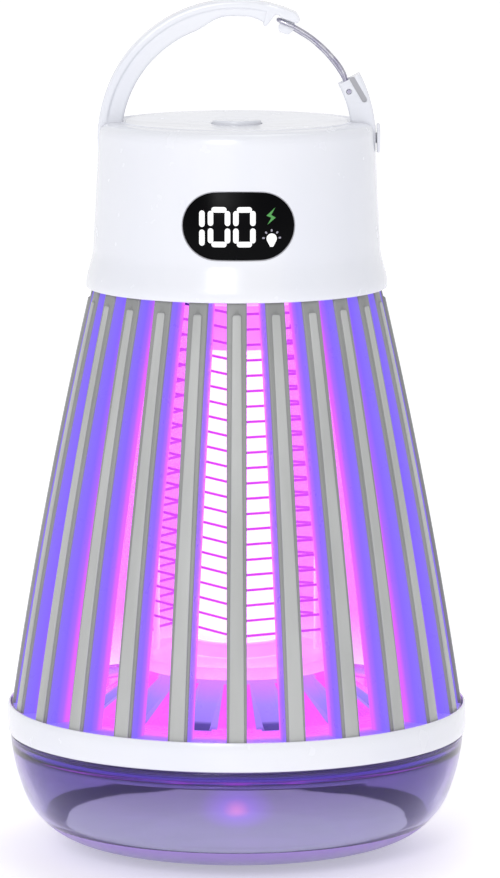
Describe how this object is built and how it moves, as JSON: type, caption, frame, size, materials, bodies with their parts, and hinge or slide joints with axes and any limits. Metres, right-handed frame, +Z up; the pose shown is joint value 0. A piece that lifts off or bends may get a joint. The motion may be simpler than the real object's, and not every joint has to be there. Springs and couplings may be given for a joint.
{
  "type": "electric bug zapper",
  "caption": "Lantern-shaped rechargeable insect zapper with a slatted cage, glowing lamp inside a wire grid, twist-off clear catch tray and folding loop handle.",
  "frame": {"origin": "centre of the disc on which the catch tray stands, on the lamp's axis", "axes": "+Z up along the lamp's axis; the display faces -Y and the charging port +Y; the handle's pivots lie along X, with the wire gate on the +X side"},
  "size_m": [0.1106, 0.1106, 0.204],
  "materials": {
    "white_plastic": "smooth moulded ABS, satin gloss",
    "grey_plastic": "fine-textured moulded ABS",
    "black_plastic": "moulded, matt",
    "display_window": "polished smoked window",
    "circuit_board": "solder resist on laminate",
    "brown_resin": "dipped resin",
    "battery_wrap": "metal cell in shrink sleeve",
    "steel": "drawn wire and pressed steel",
    "lamp_diffuser": "milky translucent tube, lit violet",
    "funnel_plastic": "smooth translucent moulding",
    "tray_plastic": "clear violet-tinted moulding",
    "silicone": "soft seal"
  },
  "bodies": {
    "housing": {"head_shell": "white_plastic", "head_chassis": "white_plastic", "switch_body": "black_plastic", "display_lens": "display_window", "display_module": "black_plastic", "control_board": "circuit_board", "hv_transformer": "black_plastic", "hv_capacitor": "brown_resin", "battery_pack": "battery_wrap", "usb_socket": "steel", "handle_pin_left": "white_plastic", "handle_pin_right": "white_plastic", "lamp_tube": "lamp_diffuser", "lamp_led_board": "circuit_board", "lamp_top_cap": "white_plastic", "lamp_bottom_cap": "white_plastic", "grid_wire_live": "steel", "grid_wire_return": "steel", "grid_top_plate": "white_plastic", "grid_collar": "funnel_plastic", "cage": "grey_plastic", "base_ring": "white_plastic", "trap_floor": "funnel_plastic", "chassis_screw_1": "steel", "chassis_screw_2": "steel", "chassis_screw_3": "steel", "chassis_screw_4": "steel", "floor_screw_1": "steel", "floor_screw_2": "steel", "floor_screw_3": "steel", "grid_post_right": "white_plastic", "grid_post_back": "white_plastic", "grid_post_left": "white_plastic", "grid_post_front": "white_plastic"},
    "handle": {"handle_arm": "white_plastic", "handle_stub": "white_plastic"},
    "gate": {"wire_gate": "steel"},
    "button": {"power_button": "white_plastic", "switch_plunger": "black_plastic"},
    "tray_carrier": {"tray_gasket": "silicone"},
    "tray": {"tray": "tray_plastic"}
  },
  "joints": [
    {"name": "handle_fold", "type": "hinge", "parent": "housing", "child": "handle", "pos_m": [0, 0, 0.171], "axis": [-1, 0, 0], "range_deg": [0, 60]},
    {"name": "gate_swing", "type": "hinge", "parent": "handle", "child": "gate", "pos_m": [0.0266, 0, 0.18225], "axis": [0, -1, 0], "range_deg": [0, 22], "stiffness_Nm_per_rad": 0.004, "springref_deg": -20.05},
    {"name": "button_press", "type": "slide", "parent": "housing", "child": "button", "axis": [0, 0, -1], "range_m": [0, 0.0008], "stiffness_N_per_m": 150, "springref_m": -0.001},
    {"name": "tray_drop", "type": "slide", "parent": "housing", "child": "tray_carrier", "axis": [0, 0, -1], "range_m": [0, 0.0061]},
    {"name": "tray_turn", "type": "hinge", "parent": "tray_carrier", "child": "tray", "pos_m": [0, 0, 0], "axis": [0, 0, -1], "range_deg": [0, 270]}
  ],
  "couplings": [
    {"joint": "tray_drop", "follows": "tray_turn", "m_per_rad": 0.0012732}
  ]
}
